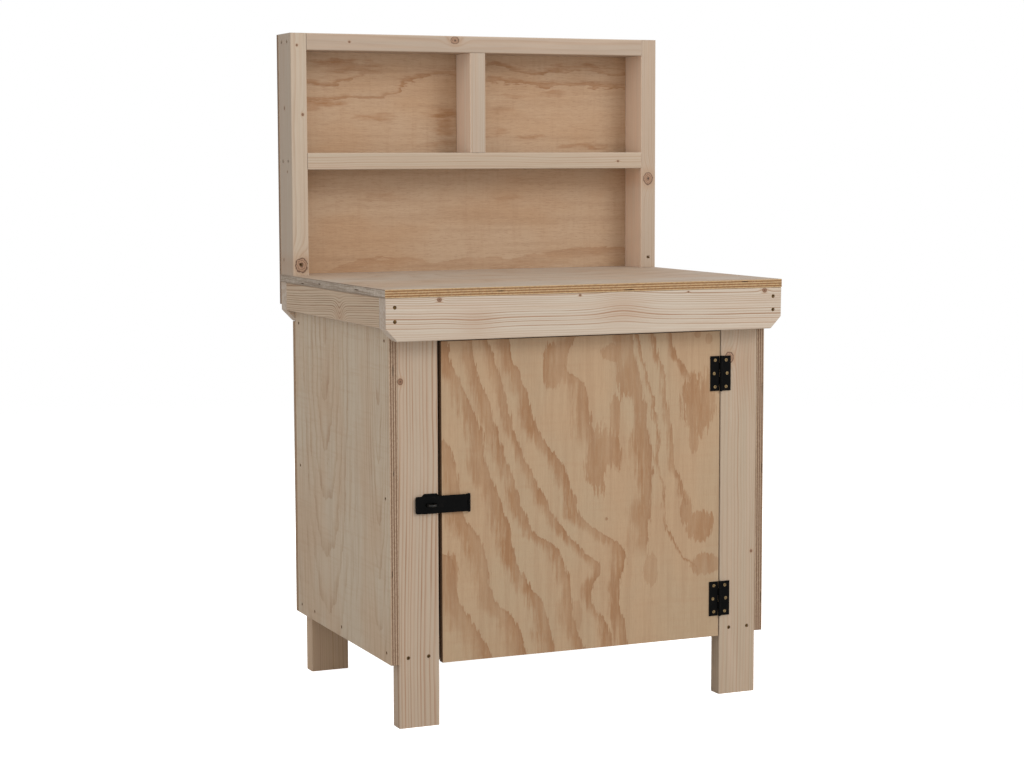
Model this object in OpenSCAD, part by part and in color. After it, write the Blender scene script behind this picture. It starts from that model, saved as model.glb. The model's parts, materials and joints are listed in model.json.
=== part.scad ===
// Potting bench: a timber frame cupboard with a sheet worktop, one hinged door with a
// hasp and staple, and a raised back frame with a shelf and a divider.
// Millimetres, +Z up. X runs left to right as seen from the front, +Y points to the back.
// The origin is on the floor, under the middle of the bench's outer box.

/* [Overall] */
// Width across the two aprons and the back frame
bench_w = 915; // [860:5:1100]
// Depth from the front apron's face to the rear apron's face
frame_d = 690; // [640:5:800]
// Height of the worktop's upper face
worktop_h = 915; // [900:5:960]
// Height of the back frame's top
total_h = 1458; // [1420:1:1560]

/* [Timber] */
// Width of a planed board
board_w = 89; // [80:1:95]
// Thickness of a planed board
board_t = 38; // [34:1:42]
// Height of the side rails under the worktop
side_rail_h = 63; // [58:1:68]
// Radius of the boards' rounded edges
edge_r = 3; // [1:0.5:5]

/* [Sheets] */
// Thickness of the worktop, door, cupboard sides, back and floor
sheet_t = 18; // [15:1:20]
// Thickness of the panel behind the back frame
back_t = 12; // [9:1:15]
// How far the worktop reaches past the aprons' ends
worktop_lip = 1.5; // [0:0.5:5]

/* [Cupboard] */
// How far the side panels sit in from the aprons' ends
panel_inset = 20; // [16:1:24]
// Height of the side panels' lower edge
panel_bottom = 135; // [120:1:142]
// Height of the lower rails' underside
lower_rail_z = 129; // [118:1:130]
// Gap between the left leg and the door
door_gap_left = 7.5; // [4:0.5:10]
// Gap between the door and the right leg
door_gap_right = 2.5; // [2:0.5:4]
// Gap between the front apron and the door
door_gap_top = 4.5; // [4:0.5:12]
// Height of the door's lower edge
door_bottom = 131; // [120:1:140]

/* [Back frame] */
// Height of the shelf's upper face
shelf_top = 1191; // [1120:1:1250]
// Place of the divider's middle, from the bench's middle
divider_x = -4; // [-120:1:120]
// Height of the upper back panel's lower edge
back_panel_bottom = 846; // [846:1:856]

/* [Door hinges] */
// Length of a hinge
hinge_h = 76; // [70:1:90]
// Width of one hinge leaf, from the pin's axis
leaf_w = 25; // [22:1:30]
// Thickness of the hinge leaves and the hasp's plates
leaf_t = 2; // [1.5:0.1:2.4]
// Radius of the knuckles round a pin
knuckle_r = 3.3; // [3:0.1:3.5]
// Radius of the hinge pins and of the hasp's pin
pin_r = 1.75; // [1.4:0.05:1.9]
// Height of the upper hinge's middle
upper_hinge_z = 711; // [640:1:740]
// Height of the lower hinge's middle
lower_hinge_z = 215; // [190:1:300]

/* [Hasp and staple] */
// Height of the strap's middle
hasp_z = 466; // [400:1:560]
// Width of the strap
strap_w = 36; // [32:1:44]
// Thickness of the strap
strap_t = 2.5; // [2:0.1:2.6]
// Length of the strap, from its free end to its pin
strap_l = 119; // [112:1:125]
// Distance from the door's free edge to the strap's pin
hasp_pin_in = 59; // [56:1:62]
// Diameter of the staple's wire
staple_wire = 5; // [4:0.5:6]
// Radius of the staple's bend, to the middle of the wire
staple_r = 8; // [7.5:0.5:9]

/* [Screws] */
// Length of the screws that join the boards
frame_screw_l = 70; // [60:5:75]
// Length of the screws that hold the sheets
panel_screw_l = 35; // [25:5:40]
// Length of the screws in the hinges and the hasp
hinge_screw_l = 16; // [12:1:18]

/* [Hidden] */
$fn = 48;

// Colours of the materials
TIMBER = [0.80, 0.71, 0.58];
SHEET = [0.76, 0.62, 0.44];
BLACK = [0.06, 0.06, 0.06];
BRASS = [0.72, 0.58, 0.30];
STEEL = [0.55, 0.50, 0.38];

// Planes of the frame, from front to back
front_y = -(frame_d + back_t) / 2;
door_face_y = front_y + board_t;
leg_back_y = door_face_y + board_t;
rear_y = front_y + frame_d;
rear_apron_y = rear_y - board_t;
rear_leg_y = rear_apron_y - board_t;
upright_y = rear_y - board_w;
back_y = rear_y + back_t;
mid_y = (door_face_y + rear_apron_y) / 2;

// Planes of the frame, from the middle outwards
half_w = bench_w / 2;
panel_x = half_w - panel_inset;
leg_x = half_w - board_t;
leg_in_x = leg_x - board_w;

// Heights of the frame
worktop_z = worktop_h - sheet_t;
apron_z = worktop_z - board_w;
side_rail_z = worktop_z - side_rail_h;
chamfer = board_w - side_rail_h;
floor_z = lower_rail_z + board_t;
shelf_z = shelf_top - board_t;
top_rail_z = total_h - board_t;

// Door, its hinges and the hasp
door_left = -leg_in_x + door_gap_left;
door_right = leg_in_x - door_gap_right;
door_top = apron_z - door_gap_top;
knuckle_gap = 0.3;
pin_play = 0.05;
pin_stand = knuckle_r + knuckle_gap;
pin_y = door_face_y - pin_stand;
hinge_x = leg_in_x - door_gap_right / 2;
hasp_x = door_left + hasp_pin_in;
strap_back_y = pin_y + 0.9;
staple_x = -leg_in_x - 18.5;
staple_plate_z = hasp_z + 2;

// Screws: diameter, head's diameter, and how deep the head lies
frame_screw_d = 4.5;
frame_head_d = 8;
frame_sink = 3;
panel_screw_d = 3.5;
panel_head_d = 7;
panel_sink = 1;
fit_gap = 0.1;

// Lengths of the screws through the apron into a leg, and through a side rail into a cross rail
leg_top_l = 60;
cross_rail_l = 120;

// ---------- Shared shapes ----------

// Section of a board with rounded edges
module section(w, t) {
    translate([edge_r, 0]) square([w - 2 * edge_r, t]);
    translate([0, edge_r]) square([w, t - 2 * edge_r]);
    for (x = [edge_r, w - edge_r], y = [edge_r, t - edge_r])
        translate([x, y]) circle(edge_r);
}

// Boards that run along X, Y and Z, from their lowest corner
module board_x(at, size)
    translate(at) rotate([90, 0, 90]) linear_extrude(size.x) section(size.y, size.z);
module board_y(at, size)
    translate(at + [0, size.y, 0]) rotate([90, 0, 0]) linear_extrude(size.y) section(size.x, size.z);
module board_z(at, size)
    translate(at) linear_extrude(size.z) section(size.x, size.y);

// Turns that point a screw, which is drawn along +Z, into the wood
TO_BACK = [-90, 0, 0];
TO_FRONT = [90, 0, 0];
TO_RIGHT = [0, 90, 0];
TO_LEFT = [0, -90, 0];
DOWN = [180, 0, 0];
UP = [0, 0, 0];
TOE = [-150, 0, 0];

// Puts a screw or its hole at each point
module drive(points, turn) for (p = points) translate(p) rotate(turn) children();

// Profile of a countersunk screw whose head lies at a depth of sink
function screw_outline(l, d, head, sink, gap) = [
    [0, gap > 0 ? -1 : sink], [head / 2 + gap, gap > 0 ? -1 : sink], [head / 2 + gap, sink],
    [d / 2 + gap, sink + (head - d) / 2], [d / 2 + gap, sink + l - d], [0, sink + l + gap]];

// Screw with a cross recess, drawn from the wood's surface along +Z
module screw(l, d, head, sink) difference() {
    rotate_extrude() polygon(screw_outline(l, d, head, sink, 0));
    for (a = [0, 90]) rotate(a)
        translate([-head * 0.28, -head * 0.06, sink - 1]) cube([head * 0.56, head * 0.12, 1 + d * 0.3]);
}
module screw_hole(l, d, head, sink) rotate_extrude() polygon(screw_outline(l, d, head, sink, fit_gap));

// The kinds of screw: frame, long frame, panel and hinge screws
module frame_screw(l = frame_screw_l) screw(l, frame_screw_d, frame_head_d, frame_sink);
module frame_hole(l = frame_screw_l) screw_hole(l, frame_screw_d, frame_head_d, frame_sink);
module panel_screw() screw(panel_screw_l, panel_screw_d, panel_head_d, panel_sink);
module panel_hole() screw_hole(panel_screw_l, panel_screw_d, panel_head_d, panel_sink);
module hinge_screw() screw(hinge_screw_l, panel_screw_d, panel_head_d, 0);
module hinge_hole() screw_hole(hinge_screw_l, panel_screw_d, panel_head_d, 0);

// ---------- Screw places ----------

SIDES = [-1, 1];

// Middles of the boards: an end board's across its thickness, a leg's across its width,
// and the heights of the lower rails, the shelf and the top rail
end_mid_x = half_w - board_t / 2;
leg_mid_x = leg_in_x + board_w / 2;
rail_mid_z = lower_rail_z + board_t / 2;
shelf_mid_z = shelf_z + board_t / 2;
top_rail_mid_z = top_rail_z + board_t / 2;

// Aprons into the side rails: in from the ends, and down from the worktop's underside
apron_screw_in = 20;
apron_drops = [48, 19];
function apron_points(y) =
    [for (s = SIDES, drop = apron_drops) [s * (half_w - apron_screw_in), y, worktop_z - drop]];

// Two screws in a leg, from its inner edge; the upper pair is one above the other
leg_screw_in = [24, 69];
leg_top_rise = [26, 62];
function leg_points(y, zs) = [for (s = SIDES, i = [0, 1]) [s * (leg_in_x + leg_screw_in[i]), y, zs[i]]];
function leg_top_points(y) = leg_points(y, [for (rise = leg_top_rise) apron_z + rise]);
function leg_foot_points(y) = leg_points(y, [rail_mid_z, rail_mid_z]);

// Side rails into the cross rails, from the legs
cross_rail_in = [45, 75];
function cross_rail_points(s) =
    [for (y = [leg_back_y + cross_rail_in[0], leg_back_y + cross_rail_in[1],
            rear_leg_y - cross_rail_in[1], rear_leg_y - cross_rail_in[0]])
        [s * leg_x, y, rail_mid_z]];

// Side panels: a column of three in each leg and two more along the lower rail
panel_screw_in = 28;
panel_column_z = 480;
panel_foot_z = lower_rail_z + panel_screw_in;
panel_foot_ys = [mid_y + 5, mid_y + 190];
function side_panel_points(s) = concat(
    [for (y = [door_face_y + panel_screw_in - 1, rear_apron_y - panel_screw_in + 3],
            z = [panel_foot_z, panel_column_z, side_rail_z - panel_screw_in])
        [s * panel_x, y, z]],
    [for (y = panel_foot_ys) [s * panel_x, y, panel_foot_z]]);

// Lower back panel: columns of three up the rear legs
lower_back_step = 280;
lower_back_points = [for (s = SIDES, i = [-1:1])
    [s * leg_mid_x, rear_apron_y + sheet_t, panel_column_z + i * lower_back_step]];

// Cupboard floor: rows of three along the side rails and pairs along the cross rails
floor_step = 140;
floor_cross_x = 150;
floor_points = concat(
    [for (s = SIDES, i = [-1:1]) [s * leg_mid_x, mid_y + i * floor_step, floor_z + sheet_t]],
    [for (x = [-floor_cross_x, floor_cross_x], y = [leg_back_y + board_w / 2, rear_leg_y - board_w / 2])
        [x, y, floor_z + sheet_t]]);

// Worktop: rows of three along the aprons and pairs along the side rails
worktop_step = 300;
worktop_side_ys = [mid_y - 190, mid_y + 120];
worktop_points = concat(
    [for (i = [-1:1], y = [front_y + board_t / 2, rear_y - board_t / 2]) [i * worktop_step, y, worktop_h]],
    [for (s = SIDES, y = worktop_side_ys) [s * end_mid_x, y, worktop_h]]);

// Uprights into the shelf and the top rail, and down into the worktop
upright_screw_in = 26;
toe_rise = 27;
function upright_side_points(s) =
    [for (z = [shelf_mid_z, top_rail_mid_z], y = [upright_y + upright_screw_in, rear_y - upright_screw_in])
        [s * half_w, y, z]];
toe_points = [for (s = SIDES) [s * end_mid_x, upright_y, worktop_h + toe_rise]];

// Divider, from above and below
divider_screw_in = 24;
divider_ys = [upright_y + divider_screw_in, rear_y - divider_screw_in];
divider_top_points = [for (y = divider_ys) [divider_x, y, total_h]];
divider_foot_points = [for (y = divider_ys) [divider_x, y, shelf_z]];

// Upper back panel: columns of four up the uprights, pairs in the shelf and the top rail, a row in the apron
back_column_z = worktop_h + 45;
back_column_step = 145;
back_pair_x = 220;
back_row_drop = 26;
upper_back_points = concat(
    [for (s = SIDES, i = [0:3]) [s * end_mid_x, back_y, back_column_z + i * back_column_step]],
    [for (x = [-back_pair_x, back_pair_x], z = [shelf_mid_z, top_rail_mid_z]) [x, back_y, z]],
    [for (i = [-1:1]) [i * worktop_step, back_y, worktop_z - back_row_drop]]);

// Hinge leaves: three in a column, the middle one further from the pin
hinge_row_step = 29;
hinge_screw_x = 13.5;
hinge_middle_x = 16;
function hinge_points(s) =
    [for (z = [upper_hinge_z, lower_hinge_z], i = [-1:1])
        [hinge_x + s * (i == 0 ? hinge_middle_x : hinge_screw_x), door_face_y - leaf_t,
            z + i * hinge_row_step]];

// Hasp and staple plates: four in each
hasp_screw_xs = [-44, -18];
hasp_screw_z = 10;
hasp_plate_points =
    [for (x = hasp_screw_xs, s = SIDES) [hasp_x + x, door_face_y - leaf_t, hasp_z + s * hasp_screw_z]];
staple_screw_at = [14, 12];
staple_plate_points =
    [for (x = SIDES, z = SIDES)
        [staple_x + x * staple_screw_at.x, door_face_y - leaf_t, staple_plate_z + z * staple_screw_at.y]];

// ---------- Worktop and its frame ----------

module worktop() color(SHEET) difference() {
    translate([-half_w - worktop_lip, front_y, worktop_z])
        cube([bench_w + 2 * worktop_lip, frame_d, sheet_t]);
    drive(worktop_points, DOWN) panel_hole();
    drive(toe_points, TOE) frame_hole();
}

// Prism that cuts off an apron's lower corner on the side s
module corner_cut(s, y) translate([s * half_w, y + board_t + 1, apron_z]) rotate([90, 0, 0])
    linear_extrude(board_t + 2) polygon([[-s * (chamfer + 1), -1], [s, -1], [s, chamfer + 1]]);

// Apron with its two lower corners cut off, and the screws that enter it
module apron(y, screw_y, turn, leg_y, leg_turn) difference() {
    board_x([-half_w, y, apron_z], [bench_w, board_t, board_w]);
    for (s = SIDES) corner_cut(s, y);
    drive(apron_points(screw_y), turn) frame_hole();
    drive(leg_top_points(leg_y), leg_turn) frame_hole(leg_top_l);
    drive(worktop_points, DOWN) panel_hole();
}
module front_apron() color(TIMBER) apron(front_y, front_y, TO_BACK, leg_back_y, TO_FRONT);
module rear_apron() color(TIMBER) difference() {
    apron(rear_apron_y, rear_y, TO_FRONT, rear_leg_y, TO_BACK);
    drive(upper_back_points, TO_FRONT) panel_hole();
}

// Rail under the worktop's side, between the two aprons
module side_rail(s) difference() {
    board_y([s > 0 ? leg_x : -half_w, door_face_y, side_rail_z],
        [board_t, rear_apron_y - door_face_y, side_rail_h]);
    drive(apron_points(front_y), TO_BACK) frame_hole();
    drive(apron_points(rear_y), TO_FRONT) frame_hole();
    drive(worktop_points, DOWN) panel_hole();
    drive(toe_points, TOE) frame_hole();
}
module left_top_rail() color(TIMBER) side_rail(-1);
module right_top_rail() color(TIMBER) side_rail(1);

// ---------- Legs and lower rails ----------

// Leg; foot_y and foot_turn say where the screws into the lower rail enter
module leg(s, y, foot_y, foot_turn, top_y, top_turn) difference() {
    board_z([s > 0 ? leg_in_x : -leg_x, y, 0], [board_w, board_t, worktop_z]);
    drive(leg_foot_points(foot_y), foot_turn) frame_hole();
    drive(leg_top_points(top_y), top_turn) frame_hole(leg_top_l);
    drive(side_panel_points(-1), TO_RIGHT) panel_hole();
    drive(side_panel_points(1), TO_LEFT) panel_hole();
    drive(lower_back_points, TO_FRONT) panel_hole();
}
module front_leg(s) difference() {
    leg(s, door_face_y, door_face_y, TO_BACK, leg_back_y, TO_FRONT);
    drive(hinge_points(1), TO_BACK) hinge_hole();
    drive(staple_plate_points, TO_BACK) hinge_hole();
}
module rear_leg(s) leg(s, rear_leg_y, rear_apron_y, TO_FRONT, rear_leg_y, TO_BACK);
module front_left_leg() color(TIMBER) front_leg(-1);
module front_right_leg() color(TIMBER) front_leg(1);
module rear_left_leg() color(TIMBER) rear_leg(-1);
module rear_right_leg() color(TIMBER) rear_leg(1);

// Flat rail that joins a front leg to a rear leg
module lower_side_rail(s) difference() {
    board_y([s > 0 ? leg_in_x : -leg_x, leg_back_y, lower_rail_z],
        [board_w, rear_leg_y - leg_back_y, board_t]);
    drive(leg_foot_points(door_face_y), TO_BACK) frame_hole();
    drive(leg_foot_points(rear_apron_y), TO_FRONT) frame_hole();
    drive(cross_rail_points(-1), TO_RIGHT) frame_hole(cross_rail_l);
    drive(cross_rail_points(1), TO_LEFT) frame_hole(cross_rail_l);
    drive(side_panel_points(-1), TO_RIGHT) panel_hole();
    drive(side_panel_points(1), TO_LEFT) panel_hole();
    drive(floor_points, DOWN) panel_hole();
}
module left_lower_rail() color(TIMBER) lower_side_rail(-1);
module right_lower_rail() color(TIMBER) lower_side_rail(1);

// Flat rail that joins the two lower side rails
module cross_rail(y) difference() {
    board_x([-leg_in_x, y, lower_rail_z], [2 * leg_in_x, board_w, board_t]);
    drive(cross_rail_points(-1), TO_RIGHT) frame_hole(cross_rail_l);
    drive(cross_rail_points(1), TO_LEFT) frame_hole(cross_rail_l);
    drive(floor_points, DOWN) panel_hole();
}
module front_lower_rail() color(TIMBER) cross_rail(leg_back_y);
module rear_lower_rail() color(TIMBER) cross_rail(rear_leg_y - board_w);

// ---------- Cupboard panels ----------

module side_panel(s) difference() {
    translate([s > 0 ? leg_x : -panel_x, door_face_y, panel_bottom])
        cube([panel_x - leg_x, rear_apron_y - door_face_y, side_rail_z - panel_bottom]);
    drive(side_panel_points(s), s > 0 ? TO_LEFT : TO_RIGHT) panel_hole();
}
module left_side_panel() color(SHEET) side_panel(-1);
module right_side_panel() color(SHEET) side_panel(1);

module lower_back_panel() color(SHEET) difference() {
    translate([-panel_x, rear_apron_y, panel_bottom])
        cube([2 * panel_x, sheet_t, apron_z - panel_bottom]);
    drive(lower_back_points, TO_FRONT) panel_hole();
}

// Floor, cut out round the four legs; its front edge is the door's stop
module cupboard_floor() color(SHEET) difference() {
    translate([-leg_x, door_face_y + sheet_t, floor_z])
        cube([2 * leg_x, rear_apron_y - door_face_y - sheet_t, sheet_t]);
    for (s = SIDES, y = [door_face_y, rear_leg_y])
        translate([s > 0 ? leg_in_x : -leg_x - 1, y - 1, floor_z - 1])
            cube([board_w + 1, board_t + (y == door_face_y ? 1 : 2), sheet_t + 2]);
    drive(floor_points, DOWN) panel_hole();
}

// ---------- Back frame ----------

module upright(s) difference() {
    board_z([s > 0 ? leg_x : -half_w, upright_y, worktop_h], [board_t, board_w, total_h - worktop_h]);
    drive(upright_side_points(s), s > 0 ? TO_LEFT : TO_RIGHT) frame_hole();
    drive(toe_points, TOE) frame_hole();
    drive(upper_back_points, TO_FRONT) panel_hole();
}
module left_upright() color(TIMBER) upright(-1);
module right_upright() color(TIMBER) upright(1);

// Board between the uprights, at a height of z
module cross_board(z) difference() {
    board_x([-leg_x, upright_y, z], [2 * leg_x, board_w, board_t]);
    drive(upright_side_points(-1), TO_RIGHT) frame_hole();
    drive(upright_side_points(1), TO_LEFT) frame_hole();
    drive(divider_top_points, DOWN) frame_hole();
    drive(divider_foot_points, UP) frame_hole();
    drive(upper_back_points, TO_FRONT) panel_hole();
}
module top_rail() color(TIMBER) cross_board(top_rail_z);
module shelf() color(TIMBER) cross_board(shelf_z);

module divider() color(TIMBER) difference() {
    board_z([divider_x - board_t / 2, upright_y, shelf_top], [board_t, board_w, top_rail_z - shelf_top]);
    drive(divider_top_points, DOWN) frame_hole();
    drive(divider_foot_points, UP) frame_hole();
}

module upper_back_panel() color(SHEET) difference() {
    translate([-half_w, rear_y, back_panel_bottom]) cube([bench_w, back_t, total_h - back_panel_bottom]);
    drive(upper_back_points, TO_FRONT) panel_hole();
}

// ---------- Door ----------

module door_panel() color(SHEET) difference() {
    translate([door_left, door_face_y, door_bottom])
        cube([door_right - door_left, sheet_t, door_top - door_bottom]);
    drive(hinge_points(-1), TO_BACK) hinge_hole();
    drive(hasp_plate_points, TO_BACK) hinge_hole();
}

// ---------- Door hinges ----------

knuckles = 5;
knuckle_l = hinge_h / knuckles;

// Leaf on the side s of the pin, with every second knuckle from the first one
module hinge_leaf(s, first, mid_z) difference() {
    translate([hinge_x, pin_y, mid_z - hinge_h / 2]) {
        difference() {
            translate([s > 0 ? 0 : -leaf_w, pin_stand - leaf_t, 0]) cube([leaf_w, leaf_t, hinge_h]);
            for (i = [1 - first:2:knuckles - 1])
                translate([-knuckle_r - knuckle_gap, 0, i * knuckle_l - knuckle_gap / 2])
                    cube([2 * (knuckle_r + knuckle_gap), 2 * pin_stand, knuckle_l + knuckle_gap]);
        }
        for (i = [first:2:knuckles - 1])
            translate([0, 0, i * knuckle_l + knuckle_gap / 2])
                cylinder(r = knuckle_r, h = knuckle_l - knuckle_gap);
    }
    translate([hinge_x, pin_y, mid_z - hinge_h]) cylinder(r = pin_r + pin_play, h = 2 * hinge_h);
    drive(hinge_points(s), TO_BACK) hinge_hole();
}
module upper_hinge_frame_leaf() color(BLACK) hinge_leaf(1, 0, upper_hinge_z);
module lower_hinge_frame_leaf() color(BLACK) hinge_leaf(1, 0, lower_hinge_z);
module upper_hinge_door_leaf() color(BLACK) hinge_leaf(-1, 1, upper_hinge_z);
module lower_hinge_door_leaf() color(BLACK) hinge_leaf(-1, 1, lower_hinge_z);

// Pin of length l with a flat head at each end, centred on the origin
pin_head_r = pin_r + 0.9;
module headed_pin(l, head) rotate_extrude() polygon([
    [0, -l / 2 - head], [pin_head_r, -l / 2 - head], [pin_head_r, -l / 2],
    [pin_r, -l / 2], [pin_r, l / 2], [pin_head_r, l / 2],
    [pin_head_r, l / 2 + head], [0, l / 2 + head]]);
module upper_hinge_pin() color(BLACK) translate([hinge_x, pin_y, upper_hinge_z]) headed_pin(hinge_h, 1);
module lower_hinge_pin() color(BLACK) translate([hinge_x, pin_y, lower_hinge_z]) headed_pin(hinge_h, 1);

// ---------- Hasp and staple ----------

hasp_knuckle = strap_w / 3;

// Knuckle of the hasp between the heights low and high, from the strap's middle
module hasp_barrel(low, high) translate([hasp_x, pin_y, hasp_z + low]) cylinder(r = knuckle_r, h = high - low);
module hasp_pin_hole() translate([hasp_x, pin_y, hasp_z - strap_w]) cylinder(r = pin_r + pin_play, h = 2 * strap_w);

// Plate on the door, hidden by the closed strap, with the middle knuckle
hasp_plate_in = 3;
hasp_plate_h = strap_w - 4;
module hasp_plate() color(BLACK) difference() {
    union() {
        translate([door_left + hasp_plate_in, door_face_y - leaf_t, hasp_z - hasp_plate_h / 2])
            cube([hasp_pin_in - hasp_plate_in - pin_stand, leaf_t, hasp_plate_h]);
        translate([hasp_x - knuckle_r - 1, door_face_y - leaf_t, hasp_z - hasp_knuckle / 2 + knuckle_gap])
            cube([knuckle_r + 1, leaf_t, hasp_knuckle - 2 * knuckle_gap]);
        hasp_barrel(knuckle_gap - hasp_knuckle / 2, hasp_knuckle / 2 - knuckle_gap);
    }
    hasp_pin_hole();
    drive(hasp_plate_points, TO_BACK) hinge_hole();
}

// Outline of the strap seen from the front, measured from its pin, with its slot
strap_clip = 3;
slot_h = staple_wire + 3;
slot_l = 2 * staple_r + staple_wire + 5;
module strap_outline() difference() {
    polygon([[-strap_l, -strap_w / 2 + strap_clip], [-strap_l + strap_clip, -strap_w / 2],
        [0, -strap_w / 2], [0, strap_w / 2],
        [-strap_l + strap_clip, strap_w / 2], [-strap_l, strap_w / 2 - strap_clip]]);
    translate([-knuckle_r - 0.5, -hasp_knuckle / 2]) square([knuckle_r + 1, hasp_knuckle]);
    translate([staple_x - hasp_x, 0]) {
        square([slot_l - slot_h, slot_h], center = true);
        for (s = SIDES) translate([s * (slot_l - slot_h) / 2, 0]) circle(slot_h / 2);
    }
}
module hasp_strap() color(BLACK) difference() {
    union() {
        translate([hasp_x, strap_back_y, hasp_z]) rotate([90, 0, 0]) linear_extrude(strap_t) strap_outline();
        hasp_barrel(-strap_w / 2, -hasp_knuckle / 2);
        hasp_barrel(hasp_knuckle / 2, strap_w / 2);
    }
    hasp_pin_hole();
}
hasp_pin_head = 1.3;
module hasp_pin() color(BLACK) translate([hasp_x, pin_y, hasp_z]) headed_pin(strap_w + 0.4, hasp_pin_head);

// Points of a rectangle with clipped corners, from its half sizes
function clipped_corners(w, h, clip) = [
    [w, h - clip], [w - clip, h], [clip - w, h], [-w, h - clip],
    [-w, clip - h], [clip - w, -h], [w - clip, -h], [w, clip - h]];

// Plate on the left leg with clipped corners, which holds the staple's two ends
staple_plate_w = 40;
staple_plate_h = 42;
plate_clip = 6;
module staple_plate() color(BLACK) difference() {
    translate([staple_x, door_face_y, staple_plate_z]) rotate([90, 0, 0]) linear_extrude(leaf_t)
        polygon(clipped_corners(staple_plate_w / 2, staple_plate_h / 2, plate_clip));
    for (s = SIDES) translate([staple_x + s * staple_r, door_face_y + 1, hasp_z]) rotate(TO_FRONT)
        cylinder(d = staple_wire + fit_gap, h = leaf_t + 2);
    drive(staple_plate_points, TO_BACK) hinge_hole();
}

// Bent wire that comes through the strap's slot and takes a padlock
bend_stand = 6;
bend_y = strap_back_y - strap_t - bend_stand;
module staple() color(BLACK) {
    for (s = SIDES) translate([staple_x + s * staple_r, door_face_y, hasp_z]) rotate(TO_FRONT)
        cylinder(d = staple_wire, h = door_face_y - bend_y);
    translate([staple_x, bend_y, hasp_z]) rotate(180) rotate_extrude(angle = 180)
        translate([staple_r, 0]) circle(d = staple_wire);
}

// ---------- Screws ----------

module hinge_frame_screws() color(BRASS) drive(hinge_points(1), TO_BACK) hinge_screw();
module hinge_door_screws() color(BRASS) drive(hinge_points(-1), TO_BACK) hinge_screw();
module hasp_plate_screws() color(BLACK) drive(hasp_plate_points, TO_BACK) hinge_screw();
module staple_plate_screws() color(BLACK) drive(staple_plate_points, TO_BACK) hinge_screw();
module apron_screws() color(STEEL) {
    drive(apron_points(front_y), TO_BACK) frame_screw();
    drive(apron_points(rear_y), TO_FRONT) frame_screw();
}
module leg_top_screws() color(STEEL) {
    drive(leg_top_points(leg_back_y), TO_FRONT) frame_screw(leg_top_l);
    drive(leg_top_points(rear_leg_y), TO_BACK) frame_screw(leg_top_l);
}
module leg_foot_screws() color(STEEL) {
    drive(leg_foot_points(door_face_y), TO_BACK) frame_screw();
    drive(leg_foot_points(rear_apron_y), TO_FRONT) frame_screw();
}
module cross_rail_screws() color(STEEL) {
    drive(cross_rail_points(-1), TO_RIGHT) frame_screw(cross_rail_l);
    drive(cross_rail_points(1), TO_LEFT) frame_screw(cross_rail_l);
}
module left_panel_screws() color(STEEL) drive(side_panel_points(-1), TO_RIGHT) panel_screw();
module right_panel_screws() color(STEEL) drive(side_panel_points(1), TO_LEFT) panel_screw();
module lower_back_screws() color(STEEL) drive(lower_back_points, TO_FRONT) panel_screw();
module floor_screws() color(STEEL) drive(floor_points, DOWN) panel_screw();
module worktop_screws() color(STEEL) drive(worktop_points, DOWN) panel_screw();
module upright_side_screws() color(STEEL) {
    drive(upright_side_points(-1), TO_RIGHT) frame_screw();
    drive(upright_side_points(1), TO_LEFT) frame_screw();
}
module upright_toe_screws() color(STEEL) drive(toe_points, TOE) frame_screw();
module divider_screws() color(STEEL) {
    drive(divider_top_points, DOWN) frame_screw();
    drive(divider_foot_points, UP) frame_screw();
}
module upper_back_screws() color(STEEL) drive(upper_back_points, TO_FRONT) panel_screw();

worktop();
front_apron();
rear_apron();
left_top_rail();
right_top_rail();
front_left_leg();
front_right_leg();
rear_left_leg();
rear_right_leg();
left_lower_rail();
right_lower_rail();
front_lower_rail();
rear_lower_rail();
left_side_panel();
right_side_panel();
lower_back_panel();
cupboard_floor();
left_upright();
right_upright();
top_rail();
shelf();
divider();
upper_back_panel();
door_panel();
upper_hinge_frame_leaf();
lower_hinge_frame_leaf();
upper_hinge_door_leaf();
lower_hinge_door_leaf();
upper_hinge_pin();
lower_hinge_pin();
hinge_frame_screws();
hinge_door_screws();
hasp_plate();
hasp_pin();
hasp_strap();
hasp_plate_screws();
staple_plate();
staple();
staple_plate_screws();
apron_screws();
leg_top_screws();
leg_foot_screws();
cross_rail_screws();
left_panel_screws();
right_panel_screws();
lower_back_screws();
floor_screws();
worktop_screws();
upright_side_screws();
upright_toe_screws();
divider_screws();
upper_back_screws();
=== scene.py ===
"""Looks of the potting bench: bare softwood and plywood, black hardware, brass screws, a white studio."""

import json
import math
import random

import bmesh
import bpy
from mathutils import Matrix, Vector

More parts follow.
